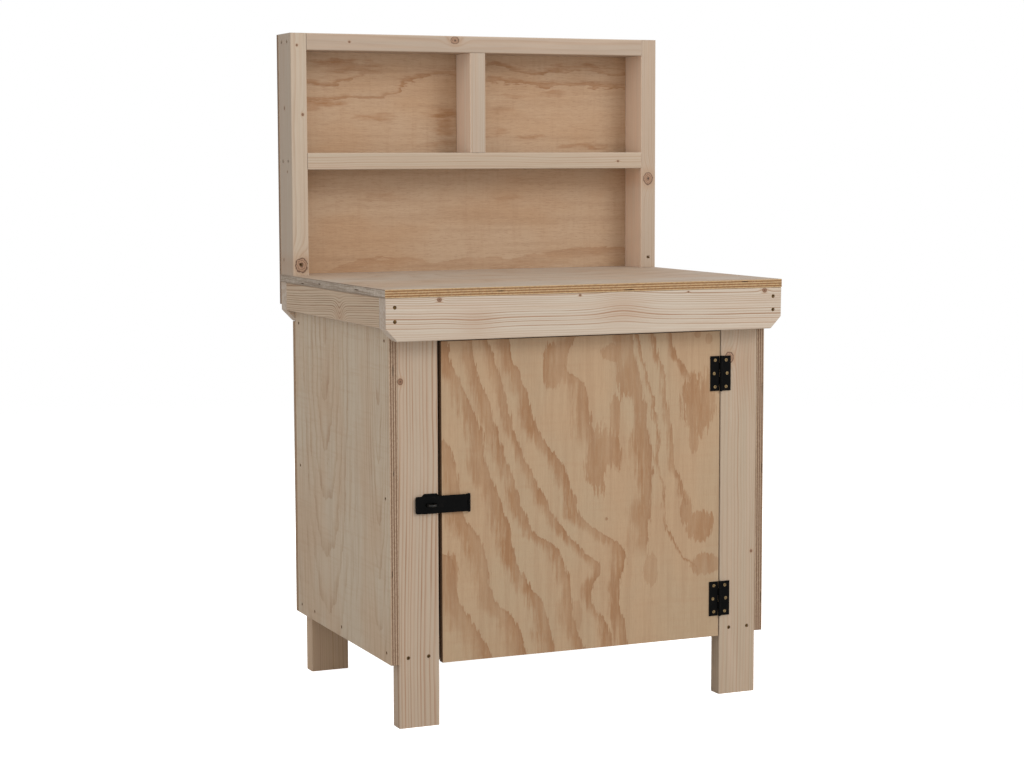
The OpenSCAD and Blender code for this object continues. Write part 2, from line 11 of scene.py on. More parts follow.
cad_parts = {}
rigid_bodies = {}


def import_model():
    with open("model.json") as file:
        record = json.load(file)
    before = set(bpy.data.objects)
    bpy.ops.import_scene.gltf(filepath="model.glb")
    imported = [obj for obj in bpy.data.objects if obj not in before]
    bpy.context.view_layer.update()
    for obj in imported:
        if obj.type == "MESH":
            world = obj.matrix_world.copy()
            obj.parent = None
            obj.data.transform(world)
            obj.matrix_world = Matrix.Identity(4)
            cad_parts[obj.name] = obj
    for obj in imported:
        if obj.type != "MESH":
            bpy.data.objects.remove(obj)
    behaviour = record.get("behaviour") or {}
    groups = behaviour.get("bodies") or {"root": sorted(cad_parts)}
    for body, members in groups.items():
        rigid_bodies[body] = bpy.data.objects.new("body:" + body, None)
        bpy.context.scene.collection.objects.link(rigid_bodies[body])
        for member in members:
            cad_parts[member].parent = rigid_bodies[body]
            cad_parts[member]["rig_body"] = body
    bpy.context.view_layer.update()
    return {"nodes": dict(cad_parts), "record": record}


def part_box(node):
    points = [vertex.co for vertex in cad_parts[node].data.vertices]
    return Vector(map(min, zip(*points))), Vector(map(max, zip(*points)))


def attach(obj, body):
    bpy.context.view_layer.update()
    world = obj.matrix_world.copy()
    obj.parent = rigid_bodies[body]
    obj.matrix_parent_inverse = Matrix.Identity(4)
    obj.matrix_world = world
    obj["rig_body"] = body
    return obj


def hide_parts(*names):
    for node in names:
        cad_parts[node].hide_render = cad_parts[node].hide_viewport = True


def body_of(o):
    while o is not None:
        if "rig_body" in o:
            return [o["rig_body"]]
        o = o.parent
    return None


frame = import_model()
scene = bpy.context.scene
X, Y, Z = 0, 1, 2
MM = 0.001


# ---------- Node graphs ----------

def srgb(red, green, blue):
    """A colour given in 0 to 255 display values, as linear RGBA."""
    def linear(value):
        c = value / 255
        return c / 12.92 if c <= 0.04045 else ((c + 0.055) / 1.055) ** 2.4
    return (linear(red), linear(green), linear(blue), 1.0)


class Graph:
    """A small helper that adds and links shader nodes."""

    def __init__(self, tree):
        self.tree = tree

    def add(self, kind, **settings):
        made = self.tree.nodes.new(kind)
        for name, value in settings.items():
            setattr(made, name, value)
        return made

    def put(self, socket, value):
        """Links a socket into another, or sets a plain value on it."""
        if isinstance(value, bpy.types.NodeSocket):
            self.tree.links.new(value, socket)
        elif value is not None:
            socket.default_value = value

    def math(self, operation, a, b=None):
        made = self.add("ShaderNodeMath", operation=operation)
        for socket, value in zip(made.inputs, (a, b)):
            self.put(socket, value)
        return made.outputs[0]

    def sum(self, *terms):
        total = terms[0]
        for term in terms[1:]:
            total = self.math("ADD", total, term)
        return total

    def times(self, a, b):
        return self.math("MULTIPLY", a, b)

    def minus(self, a, b):
        return self.math("SUBTRACT", a, b)

    def length(self, a, b):
        return self.math("SQRT", self.sum(self.times(a, a), self.times(b, b)))

    def xyz(self, x, y, z):
        made = self.add("ShaderNodeCombineXYZ")
        for socket, value in zip(made.inputs, (x, y, z)):
            self.put(socket, value)
        return made.outputs[0]

    def split(self, vector):
        made = self.add("ShaderNodeSeparateXYZ")
        self.put(made.inputs[0], vector)
        return list(made.outputs)

    def noise(self, vector, scale=1.0, detail=2.0, rough=0.5):
        """Smooth noise, about 0 to 1 with its middle at 0.5."""
        made = self.add("ShaderNodeTexNoise", noise_dimensions="3D")
        for name, value in (("Vector", vector), ("Scale", scale), ("Detail", detail), ("Roughness", rough)):
            self.put(made.inputs[name], value)
        return made.outputs["Fac"]

    def ramp(self, value, low, high, to_low=0.0, to_high=1.0):
        """Smooth step from to_low at low to to_high at high."""
        made = self.add("ShaderNodeMapRange", interpolation_type="SMOOTHSTEP")
        for name, number in (("Value", value), ("From Min", low), ("From Max", high),
                             ("To Min", to_low), ("To Max", to_high)):
            self.put(made.inputs[name], number)
        return made.outputs["Result"]

    def curve(self, value, points):
        """A smooth curve through (input, output) points."""
        made = self.add("ShaderNodeFloatCurve")
        made.mapping.use_clip = False
        line = made.mapping.curves[0]
        while len(line.points) < len(points):
            line.points.new(0.5, 0.5)
        for point, place in zip(line.points, points):
            point.location = place
        made.mapping.update()
        self.put(made.inputs["Value"], value)
        return made.outputs[0]

    def chance(self, value):
        """A random number from 0 to 1 for each whole number of value."""
        made = self.add("ShaderNodeTexWhiteNoise", noise_dimensions="1D")
        self.put(made.inputs["W"], self.math("FLOOR", value))
        return made.outputs["Value"]

    def mix(self, factor, a, b, blend="MIX"):
        made = self.add("ShaderNodeMix", data_type="RGBA", blend_type=blend)
        self.put(made.inputs[0], factor)
        self.put(made.inputs[6], a)
        self.put(made.inputs[7], b)
        return made.outputs[2]

    def bump(self, height, distance, strength):
        made = self.add("ShaderNodeBump")
        self.put(made.inputs["Height"], height)
        made.inputs["Distance"].default_value = distance
        made.inputs["Strength"].default_value = strength
        return made.outputs["Normal"]


def new_material(name):
    """A material with one Principled shader; returns it, its graph and the shader."""
    made = bpy.data.materials.new(name)
    made.use_nodes = True
    graph = Graph(made.node_tree)
    return made, graph, made.node_tree.nodes["Principled BSDF"]


def object_coordinates(g):
    """The three separate coordinates of a place on the object, in metres."""
    return g.split(g.add("ShaderNodeTexCoord").outputs["Object"])


def centred(g, name, place):
    """A node's half sizes, and the same coordinates measured from its middle."""
    low, high = (Vector(corner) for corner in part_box(name))
    middle = (low + high) / 2
    return (high - low) / 2, [g.minus(place[axis], middle[axis]) for axis in (X, Y, Z)]


def dress(name, material):
    """Gives a CAD node, or the piece that stands for it, its material."""
    shown = PIECES.get(name, frame["nodes"][name])
    shown.data.materials.clear()
    shown.data.materials.append(material)


# ---------- Pieces with eased edges ----------

PIECES = {}
SLOTS = {entry["node"]: entry["material_slot"] for entry in frame["record"]["subparts"]}
EDGE_ANGLE = math.radians(30)


def crisp(mesh):
    """Shades a mesh flat. Its roundings are divided finely enough to look smooth."""
    kept = mesh.attributes.get("custom_normal")
    if kept:
        mesh.attributes.remove(kept)
    mesh.shade_flat()


def ease(name, radius, shortest):
    """Makes a copy of a CAD node with its arrises rounded over, and shows it in the node's place.

    Only straight edges longer than shortest are rounded, so the rims of the screw holes stay crisp.
    """
    node = frame["nodes"][name]
    shape = bmesh.new()
    shape.from_mesh(node.data)
    bmesh.ops.remove_doubles(shape, verts=shape.verts, dist=0.01 * MM)
    bmesh.ops.dissolve_limit(shape, angle_limit=math.radians(1), verts=shape.verts, edges=shape.edges)
    arrises = [edge for edge in shape.edges if edge.calc_length() > shortest and len(edge.link_faces) == 2
               and edge.calc_face_angle() > EDGE_ANGLE and edge.is_convex]
    bmesh.ops.bevel(shape, geom=arrises, offset=radius, segments=3, profile=0.5, affect="EDGES")
    bmesh.ops.triangulate(shape, faces=[face for face in shape.faces if len(face.verts) > 4])
    mesh = bpy.data.meshes.new(name + "_eased")
    shape.to_mesh(mesh)
    shape.free()
    crisp(mesh)
    piece = bpy.data.objects.new(name + "_eased", mesh)
    scene.collection.objects.link(piece)
    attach(piece, body_of(node)[0])
    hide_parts(name)
    PIECES[name] = piece
    return piece


def cut(piece, voids):
    """Cuts ellipsoids, each (centre, half sizes) in metres, out of a piece."""
    shape = bmesh.new()
    for centre, sizes in voids:
        place = Matrix.Translation(centre) @ Matrix.Diagonal((*sizes, 1.0))
        bmesh.ops.create_icosphere(shape, subdivisions=2, radius=1.0, matrix=place)
    mesh = bpy.data.meshes.new("voids")
    shape.to_mesh(mesh)
    shape.free()
    cutter = bpy.data.objects.new("voids", mesh)
    scene.collection.objects.link(cutter)
    modifier = piece.modifiers.new("voids", "BOOLEAN")
    modifier.operation = "DIFFERENCE"
    modifier.solver = "EXACT"
    modifier.object = cutter
    made = bpy.data.meshes.new_from_object(piece.evaluated_get(bpy.context.evaluated_depsgraph_get()))
    piece.modifiers.clear()
    piece.data = made
    crisp(made)
    bpy.data.objects.remove(cutter)


def core_voids(name, through, plies, count, seed):
    """Short gaps in the inner plies, where they come out at a sheet's four edges."""
    chance = random.Random(seed)
    low, high = (Vector(corner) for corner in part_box(name))
    ply = (high[through] - low[through]) / plies
    flat = [axis for axis in (X, Y, Z) if axis != through]
    voids = []
    for outward, along in (flat, flat[::-1]):
        for side in (low, high):
            stretch = (high[along] - low[along]) / count
            for number in range(count):
                centre, sizes = Vector((0, 0, 0)), Vector((0, 0, 0))
                centre[outward] = side[outward]
                centre[along] = low[along] + stretch * (number + chance.uniform(0.15, 0.85))
                centre[through] = low[through] + ply * (chance.randrange(1, plies - 1, 2) + 0.5)
                sizes[outward] = chance.uniform(2.0, 4.0) * MM
                sizes[along] = chance.uniform(4.0, 15.0) * MM
                sizes[through] = ply * chance.uniform(0.36, 0.46)
                voids.append((centre, sizes))
    return voids


# How far each kind of piece is rounded over, and the shortest edge that is
TIMBER_EASE, TIMBER_SHORTEST = 1.6 * MM, 12 * MM
SHEET_EASE, SHEET_SHORTEST = 0.7 * MM, 10 * MM
STRIP_EASE, STRIP_SHORTEST = 0.35 * MM, 4 * MM

TIMBER = [name for name, slot in SLOTS.items() if slot == "planed_timber"]
# Each sheet's axis across its thickness, its plies, and the core voids along each of its edges
SHEETS = {
    "worktop": (Z, 7, 3),
    "door_panel": (Y, 7, 2),
    "left_side_panel": (X, 7, 3),
    "right_side_panel": (X, 7, 3),
    "lower_back_panel": (Y, 7, 2),
    "cupboard_floor": (Z, 7, 1),
    "upper_back_panel": (Y, 5, 2),
}
STRIPS = ("upper_hinge_frame_leaf", "lower_hinge_frame_leaf", "upper_hinge_door_leaf",
          "lower_hinge_door_leaf", "hasp_plate", "hasp_strap", "staple_plate")
for name in TIMBER:
    ease(name, TIMBER_EASE, TIMBER_SHORTEST)
for seed, (name, (through, plies, count)) in enumerate(SHEETS.items()):
    cut(ease(name, SHEET_EASE, SHEET_SHORTEST), core_voids(name, through, plies, count, seed))
for name in STRIPS:
    ease(name, STRIP_EASE, STRIP_SHORTEST)


# ---------- Solid timber ----------

WOOD_GLOSS = 0.35
PALE = srgb(192, 176, 156)
LATE = srgb(150, 110, 80)
STREAK = srgb(186, 158, 134)
BLUSH = srgb(200, 178, 158)
FIBRE = srgb(150, 120, 92)
SWIRL = srgb(168, 130, 100)
END_PALE = srgb(186, 172, 158)
END_DARK = srgb(168, 148, 130)
WORN_ARRIS = srgb(200, 180, 158)
KNOT = srgb(172, 138, 112)
PIN_KNOT = srgb(142, 104, 78)
PIN_KNOT_SIZE = 7
KNOT_HALO = srgb(172, 134, 102)
KNOT_RING = srgb(112, 78, 56)
KNOT_DARK = srgb(66, 44, 32)


def knotted(g, colour, mask, heart):
    """Draws one knot over the board's colour: a halo, fine rings, a dark core and a dark rim.

    mask is 0 in the knot's middle and 1 at its rim.
    """
    colour = g.mix(g.ramp(mask, 0.9, 2.4, 0.4, 0.0), colour, KNOT_HALO)
    fine = g.math("ADD", g.times(g.math("SINE", g.times(mask, 24.0)), 0.5), 0.5)
    inside = g.mix(g.times(fine, 0.75), heart, KNOT_RING)
    inside = g.mix(g.ramp(mask, 0.10, 0.30, 1.0, 0.0), inside, KNOT_DARK)
    inside = g.mix(g.times(g.ramp(mask, 0.76, 0.92), 0.7), inside, KNOT_DARK)
    return g.mix(g.ramp(mask, 0.92, 1.06, 0.95, 0.0), colour, inside)


def timber(name, along, pith, seed, spacing=4.6, contrast=0.75, pale=PALE, late=LATE,
           lean=(0.0, 0.0), wander=6.0, even=0.2, knots=(), swirls=(), tones=()):
    """Planed softwood board. Its growth rings are cylinders round a pith that lies beside the board.

    along is the axis that the grain follows. pith is the ring centre in millimetres from the board's
    middle, in the other two axes. lean is the pith's drift in millimetres for each metre of board.
    Each knot is (place along the board, place across it, radius, cross axis), in millimetres from
    the middle, and shows on the two faces that the remaining axis crosses. A swirl bends the grain with
    no knot in it: (place along, place across, reach along, reach across, cross axis, push). even is
    how strong the faintest rings are. Each tone is (axis, side, colour factor) for one face.
    """
    material, g, shader = new_material(name + "_timber")
    half, local = centred(g, name, object_coordinates(g))
    cross = [axis for axis in (X, Y, Z) if axis != along]
    run, u, v = local[along], local[cross[0]], local[cross[1]]

    def streaks(lengthwise, crosswise, shift, detail, rough=0.5):
        """Noise drawn out along the board."""
        vector = g.xyz(g.times(run, lengthwise), g.math("ADD", g.times(u, crosswise), shift),
                       g.times(v, crosswise))
        return g.noise(vector, 1.0, detail, rough)

    def sway(scale, amount, shift):
        """A slow drift of up to amount millimetres."""
        return g.times(g.minus(streaks(scale, 5.0, shift, 1.0), 0.5), amount * 2 * MM)

    def bend(radius, place_along, place_across, reach_along, reach_across, axis, push):
        """Pushes the rings aside round one place. Returns the distances to it, its mask and the rings."""
        a = g.minus(run, place_along * MM)
        b = g.minus(local[axis], place_across * MM)
        near = g.sum(g.math("POWER", g.math("DIVIDE", a, reach_along * MM), 2.0),
                     g.math("POWER", g.math("DIVIDE", b, reach_across * MM), 2.0))
        swell = g.math("EXPONENT", g.times(near, -1.0))
        return a, b, swell, g.math("ADD", radius, g.times(swell, push * MM))

    du = g.sum(g.minus(u, pith[0] * MM), g.times(run, lean[0] * MM), sway(2.4, wander, seed))
    dv = g.sum(g.minus(v, pith[1] * MM), g.times(run, lean[1] * MM), sway(2.0, wander, seed * 1.7),
               sway(11.0, 0.9, seed * 2.9))
    radius = g.length(du, dv)

    knot_masks, knot_hearts = [], []
    for place_along, place_across, size, axis in knots:
        a, b, _, radius = bend(radius, place_along, place_across, size * 2.6, size * 1.5, axis, size * 0.9)
        wobble = g.times(g.minus(g.noise(g.xyz(a, b, seed), 160.0, 2.0), 0.5), 0.5)
        knot_hearts.append(KNOT if size > PIN_KNOT_SIZE else PIN_KNOT)
        knot_masks.append(g.sum(g.math("DIVIDE", g.length(g.times(a, 0.85), b), size * MM), wobble))
    swirl_masks = []
    for swirl in swirls:
        _, _, swell, radius = bend(radius, *swirl)
        swirl_masks.append(swell)

    uneven = g.times(g.noise(g.xyz(g.times(radius, 70.0), seed, 0.0), 1.0, 1.0), 1.8)
    phase = g.math("ADD", g.math("DIVIDE", radius, spacing * MM), uneven)
    ring = g.math("FRACT", phase)
    line = g.times(g.ramp(ring, 0.42, 0.90), g.ramp(ring, 0.92, 1.0, 1.0, 0.0))
    year = g.math("ADD", g.times(g.math("POWER", g.chance(phase), 1.4), 1.05 - even), even)
    patch = streaks(3.5, 28.0, seed, 2.0)
    strength = g.times(g.times(g.ramp(patch, 0.3, 0.62, 0.4, 1.0), year), contrast)
    fibre = streaks(14.0, 900.0, seed, 3.0, 0.65)
    streak = streaks(3.0, 120.0, seed * 3.1, 2.0)

    colour = g.mix(g.times(line, strength), pale, late)
    colour = g.mix(g.times(g.ramp(streak, 0.3, 0.75), 0.4), colour, STREAK)
    colour = g.mix(g.times(g.ramp(patch, 0.5, 0.8), 0.3), colour, BLUSH)
    colour = g.mix(g.times(g.ramp(fibre, 0.35, 0.75), 0.16), colour, FIBRE)
    for mask in swirl_masks:
        colour = g.mix(g.times(mask, 0.35), colour, SWIRL)
    for mask, heart in zip(knot_masks, knot_hearts):
        colour = knotted(g, colour, mask, heart)

    ends = g.ramp(g.minus(half[along], g.math("ABSOLUTE", run)), 0.2 * MM, 0.9 * MM, 0.75, 0.0)
    colour = g.mix(ends, colour, g.mix(g.ramp(streak, 0.3, 0.7), END_PALE, END_DARK))
    rim_u = g.minus(half[cross[0]], g.math("ABSOLUTE", u))
    rim_v = g.minus(half[cross[1]], g.math("ABSOLUTE", v))
    corner = g.math("MAXIMUM", rim_u, rim_v)
    worn = g.times(g.ramp(corner, 1.0 * MM, 3.6 * MM, 1.0, 0.0), g.ramp(patch, 0.35, 0.65, 0.15, 0.5))
    colour = g.mix(worn, colour, WORN_ARRIS)
    for axis, side, factor in tones:
        face = g.ramp(g.times(local[axis], side), half[axis] - 1.4 * MM, half[axis] - 0.4 * MM)
        colour = g.mix(face, colour, g.mix(1.0, colour, (*factor, 1.0), "MULTIPLY"))

    g.put(shader.inputs["Base Color"], colour)
    g.put(shader.inputs["Roughness"], g.sum(g.times(line, -0.08), g.times(fibre, 0.12), 0.60))
    shader.inputs["Specular IOR Level"].default_value = WOOD_GLOSS
    height = g.sum(g.times(line, 0.35), g.times(fibre, 0.45))
    g.put(shader.inputs["Normal"], g.bump(height, 0.00025, 0.6))
    dress(name, material)


# ---------- Plywood ----------

CHATTER = srgb(170, 134, 102)
VENEER_STREAK = srgb(150, 112, 80)
VENEER_FIBRE = srgb(140, 108, 78)
PORE_DARK = srgb(132, 88, 54)
PORE_PALE = srgb(204, 176, 144)
EDGE_MOTTLE = srgb(118, 88, 62)
EDGE_SAWN = srgb(206, 186, 162)
GLUE = srgb(84, 58, 40)
VOID_PAINTED_SHADE = srgb(70, 50, 36)
AGED_PALE = srgb(196, 184, 170)
AGED_DARK = srgb(166, 152, 137)
AGED_STREAK = srgb(128, 112, 96)
AGED_REAR = srgb(132, 116, 100)
EDGE_BAND_DARK = srgb(104, 86, 70)
AGED_GLUE = srgb(92, 76, 62)


class Sheet:
    """The shader coordinates of one plywood sheet, in metres."""

    def __init__(self, g, name, through, grain, seed):
        self.g, self.name, self.seed = g, name, seed
        self.through, self.grain, self.side = through, grain, 3 - through - grain
        self.place = object_coordinates(g)
        self.half, self.local = centred(g, name, self.place)
        self.run, self.across, self.depth = (self.local[axis] for axis in (grain, self.side, through))

    def streaks(self, lengthwise, crosswise, shift, detail, rough=0.5, layer=None):
        """Noise drawn out along the grain. shift sets one such noise apart from another."""
        g = self.g
        layer = self.seed if layer is None else layer
        vector = g.xyz(g.times(self.run, lengthwise),
                       g.math("ADD", g.times(self.across, crosswise), self.seed * shift), layer)
        return g.noise(vector, 1.0, detail, rough)

    def speckle(self, scale, detail, rough=0.5):
        """Noise of the same scale every way."""
        vector = self.g.xyz(*(self.g.times(axis, scale) for axis in self.place))
        return self.g.noise(vector, 1.0, detail, rough)


def veneer(sheet, figure, behind, window, pale, dark, rim_colour, warmth, strength, flecks):
    """The two faces of a sheet. Returns their colour, the figure's dark bands and the fibres."""
    g = sheet.g
    low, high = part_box(sheet.name)
    ends = window or [(low[axis] / MM, high[axis] / MM) for axis in (sheet.grain, sheet.side)]
    along, over = (g.math("DIVIDE", g.minus(sheet.place[axis], start * MM), (stop - start) * MM)
                   for axis, (start, stop) in zip((sheet.grain, sheet.side), ends))
    teeth = g.minus(sheet.streaks(24.0, 210.0, 1.0, 3.0, 0.62), 0.5)
    wave = g.minus(sheet.streaks(16.0, 13.0, 2.3, 3.0, 0.55), 0.5)
    grit = g.minus(sheet.streaks(18.0, 170.0, 0.7, 3.0, 0.6), 0.5)
    patch = g.ramp(sheet.streaks(6.0, 22.0, 1.0, 2.0, layer=0.0), 0.3, 0.7, 0.45, 1.0)
    patch = g.times(patch, g.ramp(grit, -0.28, 0.12, 0.55, 1.0))
    fibre = sheet.streaks(22.0, 750.0, 1.0, 3.0, 0.65)
    streak = sheet.streaks(4.0, 90.0, 1.3, 2.0)
    cloud = sheet.streaks(4.0, 8.0, 5.1, 2.0)
    chatter = sheet.streaks(130.0, 9.0, 1.0, 2.0, 0.6)

    band, rim = figure(g, along, over, teeth, wave, grit)
    if behind:
        far = g.math("GREATER_THAN", sheet.depth, 0.0)
        near = g.minus(1.0, far)
        far_band, far_rim = behind(g, along, over, teeth, wave, grit)
        band = g.sum(g.times(band, near), g.times(far_band, far))
        rim = g.sum(g.times(rim, near), g.times(far_rim, far))
    face = g.mix(g.times(g.ramp(cloud, 0.35, 0.7), 0.38), pale, warmth)
    face = g.mix(g.times(g.ramp(chatter, 0.45, 0.8), 0.22), face, CHATTER)
    face = g.mix(g.times(band, g.times(patch, strength)), face, dark)
    face = g.mix(g.times(rim, g.times(patch, strength * 0.6)), face, rim_colour)
    streaked = g.times(g.ramp(streak, 0.4, 0.72), g.math("ADD", g.times(band, 0.25), 0.2))
    face = g.mix(streaked, face, VENEER_STREAK)
    face = g.mix(g.times(g.ramp(fibre, 0.35, 0.8), 0.18), face, VENEER_FIBRE)
    if flecks:
        pores = sheet.streaks(70.0, 520.0, 1.0, 3.0, 0.7)
        face = g.mix(g.times(g.ramp(pores, 0.50, 0.72), flecks), face, PORE_DARK)
        face = g.mix(g.times(g.ramp(pores, 0.28, 0.45, 1.0, 0.0), flecks), face, PORE_PALE)
    return face, band, fibre


def sawn_edge(sheet, plies, edge_pale, edge_dark):
    """Plies of two tones with dark glue lines, and painted shade on the walls of voids and holes. Returns
    their colour, the glue and a mottle.
    """
    g, half = sheet.g, sheet.half
    sway = g.times(g.minus(sheet.speckle(14.0, 2.0), 0.5), 0.7 * MM)
    layer = g.math("DIVIDE", g.sum(sheet.depth, half[sheet.through], sway), 2 * half[sheet.through] / plies)
    odd = g.math("MODULO", g.math("FLOOR", layer), 2.0)
    glue = g.ramp(g.math("ABSOLUTE", g.minus(g.math("FRACT", layer), 0.5)), 0.43, 0.5)
    mottle = sheet.speckle(160.0, 3.0, 0.6)
    saw = sheet.speckle(420.0, 2.0)
    edge = g.mix(odd, edge_pale, edge_dark)
    edge = g.mix(g.times(g.ramp(mottle, 0.4, 0.75), 0.45), edge, EDGE_MOTTLE)
    edge = g.mix(g.times(g.ramp(saw, 0.5, 0.8), 0.25), edge, EDGE_SAWN)
    edge = g.mix(g.times(glue, 0.7), edge, GLUE)
    # Painted shade: surfaces more than a millimetre inside the sheet's outline, the walls of voids and
    # holes, turn dark.
    inset = g.math("MINIMUM", g.minus(half[sheet.grain], g.math("ABSOLUTE", sheet.run)),
                   g.minus(half[sheet.side], g.math("ABSOLUTE", sheet.across)))
    return g.mix(g.ramp(inset, 0.3 * MM, 1.2 * MM, 0.0, 0.75), edge, VOID_PAINTED_SHADE), glue, mottle


def greyed_edge(sheet, edge, axis, outer, glue, mottle):
    """Draws one edge of a sheet as weathered: grey, with long streaks, and darker in a band along each of
    its two faces.
    """
    g, half, local = sheet.g, sheet.half, sheet.local
    old = g.ramp(g.times(local[axis], outer), half[axis] - 1.2 * MM, half[axis] - 0.4 * MM, 0.0, 0.9)
    long = sheet.side if axis == sheet.grain else sheet.grain
    drag = g.noise(g.xyz(g.times(local[long], 9.0), g.times(sheet.depth, 300.0), sheet.seed), 1.0, 3.0, 0.6)
    aged = g.mix(g.ramp(mottle, 0.3, 0.7), AGED_PALE, AGED_DARK)
    aged = g.mix(g.times(g.ramp(drag, 0.46, 0.62), 0.8), aged, AGED_STREAK)
    aged = g.mix(g.ramp(local[long], -half[long], half[long] * 0.4, 0.0, 0.3), aged, AGED_REAR)
    # Darker within about three millimetres of each face of the sheet.
    face_band = g.ramp(g.math("ABSOLUTE", sheet.depth), half[sheet.through] - 3.2 * MM,
                   half[sheet.through] - 1.4 * MM, 0.0, 0.6)
    aged = g.mix(face_band, aged, EDGE_BAND_DARK)
    return g.mix(old, edge, g.mix(g.times(glue, 0.4), aged, AGED_GLUE))


def plywood(name, through, grain, seed, figure, pale, dark, window=None, rim_colour=srgb(138, 98, 64),
            edge_pale=srgb(178, 150, 120), edge_dark=srgb(134, 102, 74), plies=7, strength=0.85,
            greyed=None, warmth=srgb(186, 148, 112), flecks=0.0, behind=None):
    """Softwood plywood. through is the axis across its thickness and grain the face veneer's.

    figure draws the veneer in fractions of the window, which gives, in millimetres, where the face
    starts and ends along the grain and then across it. Without one the window is the sheet itself.
    greyed is the (axis, side) of an edge that has gone grey. warmth is the colour of the veneer's
    broad warm clouds, and flecks is how strong its short dark pores are. behind draws the veneer
    on the far face, where it differs.
    """
    material, g, shader = new_material(name + "_plywood")
    sheet = Sheet(g, name, through, grain, seed)
    face, band, fibre = veneer(sheet, figure, behind, window, pale, dark, rim_colour, warmth, strength,
                               flecks)
    edge, glue, mottle = sawn_edge(sheet, plies, edge_pale, edge_dark)
    if greyed:
        edge = greyed_edge(sheet, edge, *greyed, glue, mottle)
    skin = g.ramp(g.minus(sheet.half[through], g.math("ABSOLUTE", sheet.depth)), 0.25 * MM, 0.6 * MM)

    g.put(shader.inputs["Base Color"], g.mix(skin, face, edge))
    g.put(shader.inputs["Roughness"], g.sum(g.times(fibre, 0.14), g.times(skin, 0.12), 0.56))
    shader.inputs["Specular IOR Level"].default_value = WOOD_GLOSS
    sunk = g.times(g.sum(glue, mottle), g.times(skin, -0.6))
    height = g.sum(g.times(band, 0.25), g.times(fibre, 0.4), sunk)
    g.put(shader.inputs["Normal"], g.bump(height, 0.0003, 0.6))
    dress(name, material)


def veins(g, along, over, teeth, wave, grit, lines, jag=0.045, swell=0.034):
    """Bands with one crisp, toothed border that fade away from it. Returns their body and their rim.

    Each line is (points, width, strength, first, last): the border's place across the sheet at places
    along it, how wide the band is, and the stretch where it shows. A negative width fades the other way.
    """
    body, rim = 0.0, 0.0
    for points, width, strength, first, last in lines:
        border = g.curve(along, points)
        gap = g.sum(g.minus(over, border), g.times(teeth, jag), g.times(wave, swell))
        if width < 0:
            gap = g.times(gap, -1.0)
        wide = abs(width)
        inside = g.ramp(gap, -0.0015, 0.0015, 1.0, 0.0)
        ragged = g.sum(gap, g.times(wave, wide * 0.7), g.times(grit, wide * 1.1))
        fade = g.ramp(ragged, -wide, -wide * 0.3, 0.0, strength)
        shown = g.times(inside, g.times(g.ramp(along, first - 0.03, first + 0.03),
                                        g.ramp(along, last - 0.03, last + 0.03, 1.0, 0.0)))
        edge = g.ramp(gap, -min(wide * 0.5, 0.016), -0.001, 0.0, strength)
        body = g.math("MAXIMUM", body, g.times(fade, shown))
        rim = g.math("MAXIMUM", rim, g.times(edge, shown))
    return body, rim


def blots(g, along, over, teeth, wave, grit, places, soft=0.16, jag=2.6):
    """Toothed dark patches: (along, over, half length, half width, strength)."""
    body = 0.0
    for at_along, at_over, long, wide, strength in places:
        a = g.math("POWER", g.math("DIVIDE", g.minus(along, at_along), long), 2.0)
        b = g.math("POWER", g.math("DIVIDE", g.minus(over, at_over), wide), 2.0)
        depth = g.sum(g.minus(1.0, g.sum(a, b)), g.times(teeth, jag), g.times(wave, 1.9),
                      g.times(grit, 0.8))
        body = g.math("MAXIMUM", body, g.ramp(depth, 0.0, soft, 0.0, strength))
    return body


# The first and last place along the sheet of a band that shows all the way
ALL = (-1.0, 2.0)
# The bands and patches that the two figured sheets show, in the forms that veins and blots take; some of
# the back's patches are partly painted shade
DOOR_BANDS = (
    (((0, -0.3), (0.62, -0.1), (0.68, 0.035), (0.78, 0.045), (0.86, 0.09), (1, 0.17)),
     0.10, 0.9, *ALL),
    (((0, -0.2), (0.27, -0.02), (0.37, 0.04), (0.55, 0.08), (0.64, 0.135), (0.8, 0.175),
     (0.9, 0.265), (1, 0.29)), 0.085, 0.9, *ALL),
    (((0, 0.018), (0.07, 0.03), (0.22, 0.11), (0.3, 0.143), (0.38, 0.152), (0.55, 0.215),
     (0.78, 0.30), (0.82, 0.338), (0.9, 0.372), (1, 0.388)), 0.075, 1.0, *ALL),
    (((0, 0.10), (0.1, 0.12), (0.2, 0.165), (0.3, 0.192), (0.45, 0.248), (0.6, 0.31), (0.66, 0.39),
     (0.75, 0.44), (0.9, 0.465), (1, 0.50)), 0.06, 1.0, *ALL),
    (((0, 0.155), (0.15, 0.212), (0.3, 0.25), (0.45, 0.325), (0.6, 0.42), (0.69, 0.505),
     (0.745, 0.565), (0.79, 0.535), (0.84, 0.525), (0.92, 0.58), (1, 0.60)), 0.05, 1.0, *ALL),
    (((0, 0.235), (0.1, 0.258), (0.18, 0.30), (0.3, 0.34), (0.39, 0.415), (0.5, 0.46),
     (0.57, 0.485), (0.63, 0.565), (0.7, 0.648), (0.8, 0.632), (1, 0.66)), 0.065, 1.0, *ALL),
    (((0, 0.475), (0.05, 0.443), (0.1, 0.44), (0.15, 0.495), (0.25, 0.525), (0.4, 0.55), (1, 0.6)),
     0.085, 1.0, -1.0, 0.34),
    (((0, 0.675), (0.1, 0.695), (0.3, 0.735), (0.5, 0.75), (0.6, 0.735), (1, 0.77)),
     0.10, 0.9, -1.0, 0.70),
    (((0, 0.70), (0.15, 0.735), (0.32, 0.775), (0.42, 0.772), (0.5, 0.80), (0.6, 0.797),
     (0.72, 0.87), (0.78, 0.93), (1, 1.0)), 0.014, 1.0, -1.0, 0.78),
    (((0, 0.75), (0.1, 0.785), (0.2, 0.80), (0.35, 0.83), (0.42, 0.835), (0.5, 0.865), (0.6, 0.88),
     (1, 0.9)), 0.028, 1.0, -1.0, 0.58),
    (((0, 0.815), (0.06, 0.832), (0.13, 0.88), (1, 1.0)), 0.03, 1.0, -1.0, 0.15),
)
